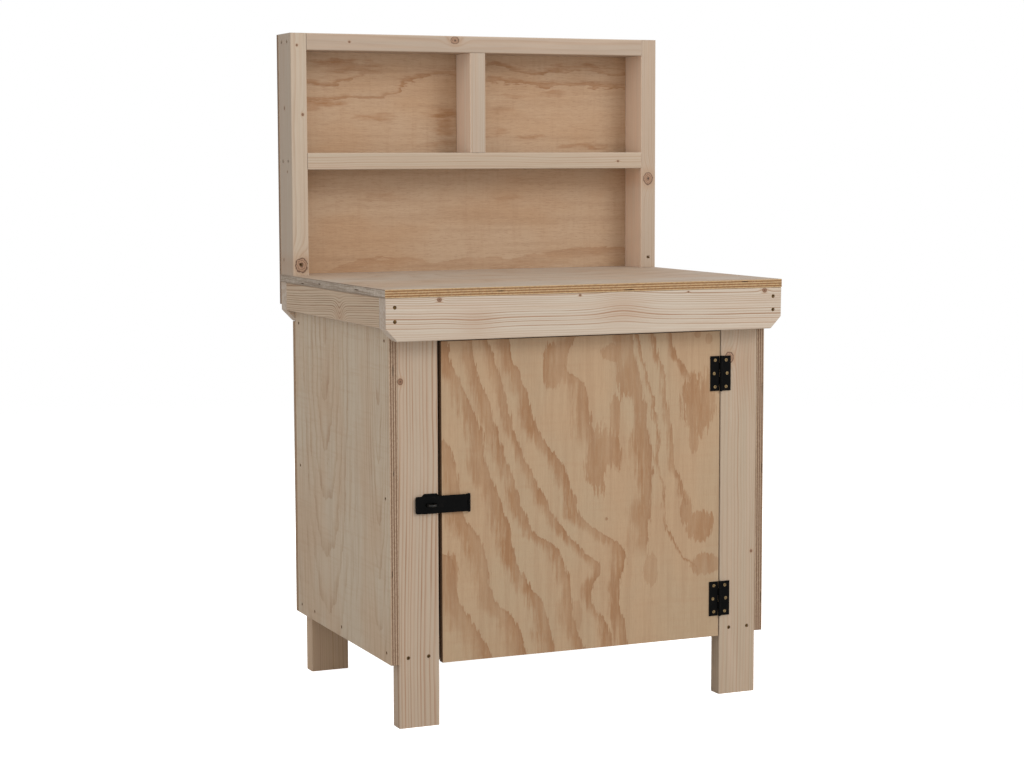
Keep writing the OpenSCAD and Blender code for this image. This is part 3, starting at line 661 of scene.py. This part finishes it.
DOOR_BLOTS = (
    (0.40, 0.565, 0.11, 0.065, 1.0), (0.145, 0.655, 0.075, 0.04, 0.9), (0.25, 0.612, 0.07, 0.02, 0.7),
    (0.055, 0.60, 0.03, 0.045, 0.8), (0.09, 0.385, 0.08, 0.035, 0.9), (0.23, 0.925, 0.12, 0.07, 0.95),
    (0.35, 0.905, 0.05, 0.02, 0.8), (0.57, 0.875, 0.06, 0.03, 0.8), (0.63, 0.93, 0.05, 0.055, 0.85),
    (0.755, 0.95, 0.035, 0.06, 0.8), (0.73, 0.02, 0.08, 0.03, 0.8), (0.76, 0.745, 0.05, 0.025, 0.5),
    (0.885, 0.475, 0.05, 0.02, 0.5), (0.023, 0.961, 0.018, 0.012, 0.7), (0.006, 0.92, 0.012, 0.012, 0.6),
    (0.17, 0.90, 0.05, 0.03, 0.5))
DOOR_CLEAR = (
    (0.47, 0.60, 0.06, 0.028, 1.0), (0.255, 0.658, 0.07, 0.028, 1.0), (0.85, 0.56, 0.05, 0.03, 0.8))


def door_figure(g, along, over, teeth, wave, grit):
    """Bands that lean down to the right, a pale tongue in the middle, and jagged flames by the hinges."""
    body, rim = veins(g, along, over, teeth, wave, grit, DOOR_BANDS)
    body = g.math("MAXIMUM", body, blots(g, along, over, teeth, wave, grit, DOOR_BLOTS))
    clear = g.minus(1.0, blots(g, along, over, teeth, wave, grit, DOOR_CLEAR))
    pin = g.length(g.minus(along, 0.585), g.minus(over, 0.58))
    return g.times(body, clear), g.math("MAXIMUM", g.times(rim, clear), g.ramp(pin, 0.004, 0.007, 2.0, 0.0))


BACK_BANDS = (
    (((0, 0.215), (0.08, 0.20), (0.2, 0.197), (0.25, 0.178), (0.29, 0.125), (0.36, 0.105),
     (0.5, 0.09), (1, 0.05)), 0.035, 0.9, -1.0, 0.46),
    (((0, 0.125), (0.1, 0.135), (0.15, 0.10), (0.2, 0.075), (1, 0.05)), 0.03, 0.8, -1.0, 0.2),
    (((0, 0.0), (0.5, 0.03), (0.6, 0.05), (0.66, 0.068), (0.75, 0.064), (0.83, 0.05), (0.9, 0.064),
     (1, 0.076)), 0.03, 0.9, 0.54, 2.0),
    (((0, 0.1), (0.5, 0.115), (0.6, 0.13), (0.68, 0.137), (0.76, 0.126), (0.85, 0.14), (1, 0.142)),
     0.035, 0.9, 0.52, 2.0),
    (((0, 0.97), (0.1, 0.95), (0.2, 0.918), (0.28, 0.92), (0.37, 0.94), (0.45, 0.925), (0.62, 0.93),
     (0.72, 0.915), (0.82, 0.88), (0.9, 0.87), (1, 0.885)), -0.10, 0.45, 0.06, 2.0),
)
# Dark veneer patches. Those at the left cubby's top left, along its left side and beside the divider are
# partly painted shade from the cubby's walls.
BACK_BLOTS_AND_PAINTED_SHADE = (
    (0.12, 0.045, 0.11, 0.035, 1.0), (0.04, 0.225, 0.09, 0.03, 1.0), (0.03, 0.13, 0.06, 0.02, 1.0),
    (0.20, 0.275, 0.08, 0.022, 0.8), (0.40, 0.27, 0.07, 0.03, 0.9), (0.40, 0.33, 0.06, 0.035, 0.8),
    (0.38, 0.40, 0.08, 0.02, 0.5), (0.73, 0.165, 0.06, 0.02, 0.7), (0.62, 0.18, 0.08, 0.012, 0.6),
    (0.56, 0.34, 0.07, 0.04, 0.8), (0.68, 0.365, 0.05, 0.012, 0.7), (0.84, 0.41, 0.10, 0.015, 0.6),
    (0.58, 0.24, 0.06, 0.02, 0.4), (0.20, 0.64, 0.12, 0.02, 0.4), (0.6, 0.66, 0.15, 0.015, 0.3))


def back_figure(g, along, over, teeth, wave, grit):
    """Long dark flames and soft dark patches in the cubbies, and one warm band along the foot of the open
    bay. The patches along the left cubby's walls are partly painted shade.
    """
    place = g.xyz(g.times(along, 9.0), g.times(over, 22.0), 3.3)
    drift = g.minus(g.noise(place, 1.0, 3.0, 0.6), 0.5)
    over = g.math("ADD", over, g.times(drift, 0.10))
    along = g.math("ADD", along, g.times(g.minus(g.noise(place, 1.7, 2.0), 0.5), 0.10))
    body, rim = veins(g, along, over, teeth, wave, grit, BACK_BANDS, jag=0.03, swell=0.02)
    smoke_and_painted_shade = blots(g, along, over, teeth, wave, grit, BACK_BLOTS_AND_PAINTED_SHADE, soft=1.2, jag=1.2)
    return g.math("MAXIMUM", body, smoke_and_painted_shade), g.times(rim, 0.45)


def rings(g, field, first=0.55):
    """Thin bands at the whole numbers of a field, crisp on one side."""
    ring = g.math("FRACT", field)
    return (g.times(g.ramp(ring, first, 0.9), g.ramp(ring, 0.965, 0.995, 1.0, 0.0)),
            g.times(g.ramp(ring, 0.86, 0.95), g.ramp(ring, 0.965, 0.995, 1.0, 0.0)))


def side_figure(g, along, over, teeth, wave, grit):
    """Two sets of faint nested arches side by side, closed at the bottom."""
    def arches(middle, slim):
        off = g.math("DIVIDE", g.minus(over, middle), slim)
        return g.length(off, g.math("MAXIMUM", along, 0.0))
    nested = g.math("MINIMUM", arches(0.34, 0.26), g.math("ADD", arches(0.88, 0.11), 0.02))
    field = g.sum(g.math("DIVIDE", nested, 0.18), g.times(teeth, 0.25), g.times(wave, 1.1), 7.7)
    band, rim = rings(g, field, 0.5)
    faint = g.ramp(g.math("ADD", nested, wave), 0.75, 1.3, 1.0, 0.35)
    return g.times(band, faint), g.times(rim, g.times(faint, 0.5))


def peeled_figure(seed, bands, lean=3.0):
    """The islands and flames of a rotary-cut veneer: the level lines of a smooth, drawn-out field."""
    def figure(g, along, over, teeth, wave, grit):
        place = g.xyz(g.times(along, 1.3), g.times(over, 3.1), seed)
        swell = g.noise(place, 1.0, 0.0)
        field = g.sum(g.times(swell, bands), g.times(over, lean), g.times(teeth, 0.5), g.times(wave, 0.45),
                      g.times(grit, 0.12), 40.0)
        return rings(g, field, 0.35)
    return figure


# ---------- Metal ----------

def black_steel(name, low, high, gloss, rough):
    """Black finish with a fine orange-peel texture and a little dust."""
    material, g, shader = new_material(name)
    place = g.add("ShaderNodeTexCoord").outputs["Object"]
    peel = g.noise(place, 900.0, 3.0, 0.6)
    dust = g.noise(place, 60.0, 3.0, 0.6)
    g.put(shader.inputs["Base Color"], g.mix(g.ramp(dust, 0.45, 0.8), low, high))
    shader.inputs["Specular IOR Level"].default_value = gloss
    g.put(shader.inputs["Roughness"], g.sum(g.times(peel, 0.2), g.times(dust, 0.12), rough))
    g.put(shader.inputs["Normal"], g.bump(peel, 0.0001, 0.5))
    return material


def metal(name, bright, dull, rough):
    """Plated screw metal, duller in patches, with fine turning marks."""
    material, g, shader = new_material(name)
    place = g.add("ShaderNodeTexCoord").outputs["Object"]
    patch = g.noise(place, 260.0, 3.0, 0.6)
    fine = g.noise(place, 2400.0, 2.0, 0.5)
    g.put(shader.inputs["Base Color"], g.mix(g.ramp(patch, 0.35, 0.7), bright, dull))
    shader.inputs["Metallic"].default_value = 0.85
    g.put(shader.inputs["Roughness"], g.sum(g.times(patch, 0.25), g.times(fine, 0.1), rough))
    g.put(shader.inputs["Normal"], g.bump(fine, 0.00005, 0.4))
    return material


# ---------- The bench ----------

# Colour factors for one face of a board: the first makes it darker, the second is painted light on faces
# inside the cubbies
DARKER_FACE = (0.84, 0.84, 0.85)
PAINTED_LIGHT_FACE = (1.76, 1.80, 1.88)
timber("front_apron", X, (-30, 70), 3.1, spacing=5.0, contrast=1.25, pale=srgb(198, 185, 168),
       lean=(0, 14), knots=((-341, 39, 4.5, Z), (-25, 40, 2.6, Z), (230, 40, 2, Z), (416, 39, 5, Z)),
       swirls=((75, 12, 60, 38, Z, 9), (-260, -10, 46, 26, Z, -4)))
timber("rear_apron", X, (-40, -80), 9.4)
timber("left_top_rail", Y, (20, 55), 14.2, spacing=4.1, contrast=1.4, late=srgb(126, 92, 60),
       lean=(0, 40), even=0.5, swirls=((-62, -34, 27, 36, Z, -24),), tones=((X, -1, (1.0, 0.95, 0.88)),))
timber("right_top_rail", Y, (40, -50), 21.7)
timber("front_left_leg", Z, (60, -60), 31.3, spacing=6.6, contrast=1.6, pale=srgb(181, 162, 141),
       lean=(-12, 0), knots=((275, -38, 6, X),))
timber("front_right_leg", Z, (-70, 70), 37.9, spacing=4.6, contrast=0.9, pale=srgb(178, 160, 138),
       wander=9.0, knots=((296, -24, 11, X), (-134, 34, 3, X)), swirls=((270, 12, 70, 22, X, 5),))
timber("rear_left_leg", Z, (80, 30), 41.2, pale=srgb(196, 168, 138))
timber("rear_right_leg", Z, (-90, 30), 47.7, pale=srgb(176, 156, 134))
timber("left_lower_rail", Y, (60, 40), 53.2)
timber("right_lower_rail", Y, (-70, 50), 57.2)
timber("front_lower_rail", X, (70, 40), 61.2)
timber("rear_lower_rail", X, (-60, 50), 67.2)
timber("left_upright", Z, (-40, 80), 71.5, spacing=4.0, contrast=0.7, tones=((X, -1, DARKER_FACE),),
       knots=((-248, 1, 15, X), (90, 8, 3, X), (244, -4, 2.5, X), (105, 4, 3.5, Y), (-38, -12, 2.5, Y),
              (-238, 22, 3, Y)))
# Its face towards -X, inside the cubby, is lightened as painted light.
timber("right_upright", Z, (50, -90), 77.5, spacing=4.0, contrast=0.7, pale=srgb(182, 163, 143),
       knots=((-58, -1, 13, X),), tones=((X, -1, PAINTED_LIGHT_FACE),))
timber("top_rail", X, (90, -30), 83.5, spacing=4.2, contrast=0.8, pale=srgb(178, 160, 142),
       knots=((-61, 9, 9, Z), (-318, 1, 2.5, Z)))
timber("shelf", X, (-90, 40), 87.5, spacing=4.2, contrast=0.7, pale=srgb(189, 172, 151),
       knots=((357, -2, 2.5, Z),))
# Its face towards -X, inside the cubby, is lightened as painted light.
timber("divider", Z, (40, -60), 91.5, spacing=3.8, contrast=0.6, pale=srgb(185, 169, 151),
       tones=((X, -1, PAINTED_LIGHT_FACE),))

GREY_PALE, GREY_DARK, GREY_RIM = srgb(194, 177, 154), srgb(174, 146, 116), srgb(158, 126, 96)
plywood("worktop", Z, X, 5.5, peeled_figure(5.5, 16.0, 5.0), srgb(190, 176, 160), srgb(172, 150, 128),
        edge_pale=srgb(190, 158, 116), edge_dark=srgb(140, 98, 58), strength=0.36, greyed=(X, -1))
plywood("left_side_panel", X, Z, 12.5, side_figure, GREY_PALE, GREY_DARK, ((812, 135), (303, -320)),
        rim_colour=GREY_RIM, edge_pale=srgb(176, 150, 126), edge_dark=srgb(118, 90, 68), strength=0.7)
plywood("right_side_panel", X, Z, 18.5, peeled_figure(4.4, 15.0), GREY_PALE, GREY_DARK,
        rim_colour=GREY_RIM, edge_pale=srgb(168, 142, 118), edge_dark=srgb(116, 88, 66), strength=0.8)
plywood("lower_back_panel", Y, Z, 22.5, peeled_figure(2.2, 17.0, 2.0), GREY_PALE, GREY_DARK)
plywood("cupboard_floor", Z, X, 26.5, peeled_figure(8.1, 14.0), GREY_PALE, GREY_DARK)
plywood("upper_back_panel", Y, X, 30.5, back_figure, srgb(192, 163, 134), srgb(156, 106, 62),
        ((-388, 442), (1415, 905)), edge_pale=srgb(140, 116, 94), edge_dark=srgb(104, 80, 60), plies=5,
        strength=1.0, warmth=srgb(178, 132, 88), flecks=0.3, behind=peeled_figure(3.7, 13.0))
# Its ply edges are darkened as painted shade, so that the gap at its left edge looks dark.
plywood("door_panel", Y, Z, 35.5, door_figure, srgb(176, 151, 121), srgb(147, 101, 60),
        ((803, 130), (-320, 326)), edge_pale=srgb(120, 94, 70), edge_dark=srgb(92, 68, 48), flecks=0.1,
        behind=peeled_figure(6.4, 15.0))

BLACK = black_steel("black_steel", srgb(6, 6, 6), srgb(15, 13, 12), 0.06, 0.34)
WORN_BLACK = black_steel("worn_black_wire", srgb(11, 10, 9), srgb(30, 28, 25), 0.4, 0.18)
BRASS = metal("brass_screw", srgb(162, 138, 98), srgb(104, 84, 56), 0.36)
# Yellow zinc, darkened as painted shade for the frame screws that sit deep in their holes.
ZINC_SCREW_PAINTED_SHADE = metal("zinc_screw", srgb(150, 120, 76), srgb(72, 54, 34), 0.42)
SLOT_METALS = {"black_steel": BLACK, "brass_screw": BRASS, "zinc_screw": ZINC_SCREW_PAINTED_SHADE}
for name, slot in SLOTS.items():
    if slot in SLOT_METALS:
        dress(name, SLOT_METALS[slot])
for name in ("staple", "hasp_pin", "upper_hinge_pin", "lower_hinge_pin"):
    dress(name, WORN_BLACK)


# ---------- Studio ----------

WHITE = (1, 1, 1, 1)


def floor():
    """Ground that looks plain white to the camera, is pale grey to the bench, and fades out further off."""
    bpy.ops.mesh.primitive_plane_add(size=14.0, location=(0, 0, 0))
    ground = bpy.context.object
    ground.name = "floor"
    material, g, shader = new_material("floor")
    place = object_coordinates(g)
    seen = g.add("ShaderNodeLightPath").outputs["Is Camera Ray"]
    g.put(shader.inputs["Base Color"], g.mix(seen, (0.74, 0.74, 0.74, 1), (0.95, 0.95, 0.95, 1)))
    shader.inputs["Roughness"].default_value = 0.9
    shader.inputs["Specular IOR Level"].default_value = 0.1
    shader.inputs["Emission Color"].default_value = WHITE
    g.put(shader.inputs["Emission Strength"], g.times(seen, 0.9))
    clear = g.add("ShaderNodeBsdfTransparent")
    blend = g.add("ShaderNodeMixShader")
    g.put(blend.inputs[0], g.ramp(g.length(place[X], place[Y]), 1.6, 6.0))
    g.put(blend.inputs[1], shader.outputs[0])
    g.put(blend.inputs[2], clear.outputs[0])
    g.put(material.node_tree.nodes["Material Output"].inputs["Surface"], blend.outputs[0])
    ground.data.materials.append(material)


def surround():
    """A white room, a little brighter in front of the bench than behind it."""
    world = bpy.data.worlds.new("studio")
    scene.world = world
    world.use_nodes = True
    g = Graph(world.node_tree)
    background = world.node_tree.nodes["Background"]
    way = g.split(g.add("ShaderNodeTexCoord").outputs["Generated"])
    front = g.ramp(way[Y], -0.7, 0.6, 0.97, 0.62)
    seen = g.add("ShaderNodeLightPath").outputs["Is Camera Ray"]
    g.put(background.inputs["Strength"], g.math("MAXIMUM", front, seen))
    background.inputs["Color"].default_value = WHITE


def key_light():
    """A soft square light, high at the front right and aimed just under the worktop."""
    place, aim = Vector((2.4, -3.8, 3.8)), Vector((0, 0, 0.8))
    light = bpy.data.lights.new("key", "AREA")
    light.shape = "SQUARE"
    light.size = 2.2
    light.energy = 80.0
    made = bpy.data.objects.new("key", light)
    scene.collection.objects.link(made)
    made.location = place
    made.rotation_euler = (aim - place).to_track_quat("-Z", "Y").to_euler()


def camera():
    """Camera left of the front and a little above the worktop."""
    data = bpy.data.cameras.new("camera")
    data.lens = 78.65
    data.sensor_width = 36.0
    made = bpy.data.objects.new("camera", data)
    scene.collection.objects.link(made)
    place = Matrix.Translation((-2.0097, -4.5755, 1.1736))
    yaw, pitch, roll = 0.4086, -0.0998, -0.0029
    level = Matrix.Rotation(-yaw, 4, "Z") @ Matrix.Rotation(math.pi / 2 + pitch, 4, "X")
    made.matrix_world = place @ (level @ Matrix.Rotation(roll, 4, "Z"))
    scene.camera = made


floor()
surround()
key_light()
camera()
scene.view_settings.view_transform = "Standard"
